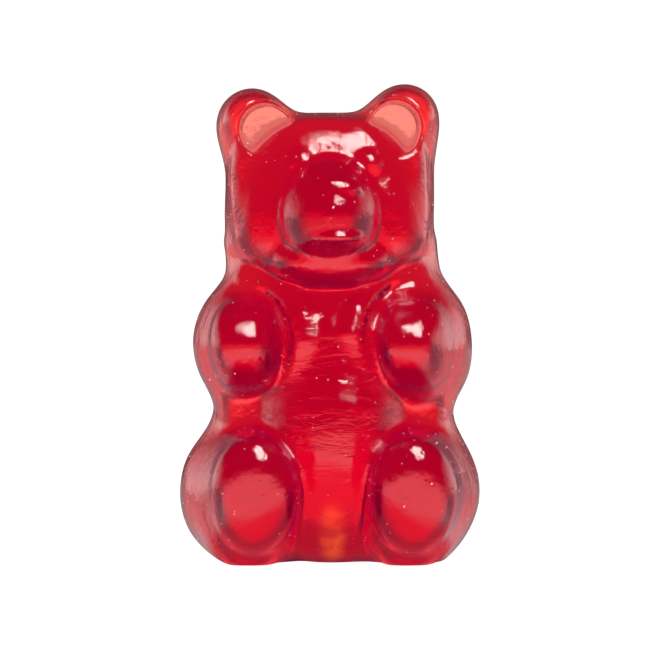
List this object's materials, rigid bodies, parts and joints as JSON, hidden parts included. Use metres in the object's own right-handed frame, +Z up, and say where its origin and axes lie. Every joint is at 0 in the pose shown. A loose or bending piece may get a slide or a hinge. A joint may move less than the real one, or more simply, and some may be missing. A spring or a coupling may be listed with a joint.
{
  "type": "gummy bear",
  "caption": "Red translucent gummy bear sweet sitting upright, with round hollow ears, a broad snout, paws on the chest, feet forward and a flat back.",
  "frame": {"origin": "centre of the outline's bounding box, on the surface that the bear stands on", "axes": "+Z up from the base to the ears, -Y the way the face looks, +Y out of the flat back, +X across to the right as seen from the front"},
  "size_m": [0.0138, 0.0097, 0.022],
  "materials": {
    "jelly": "glossy translucent red jelly"
  },
  "bodies": {
    "root": {"gummy_bear": "jelly"}
  },
  "joints": []
}
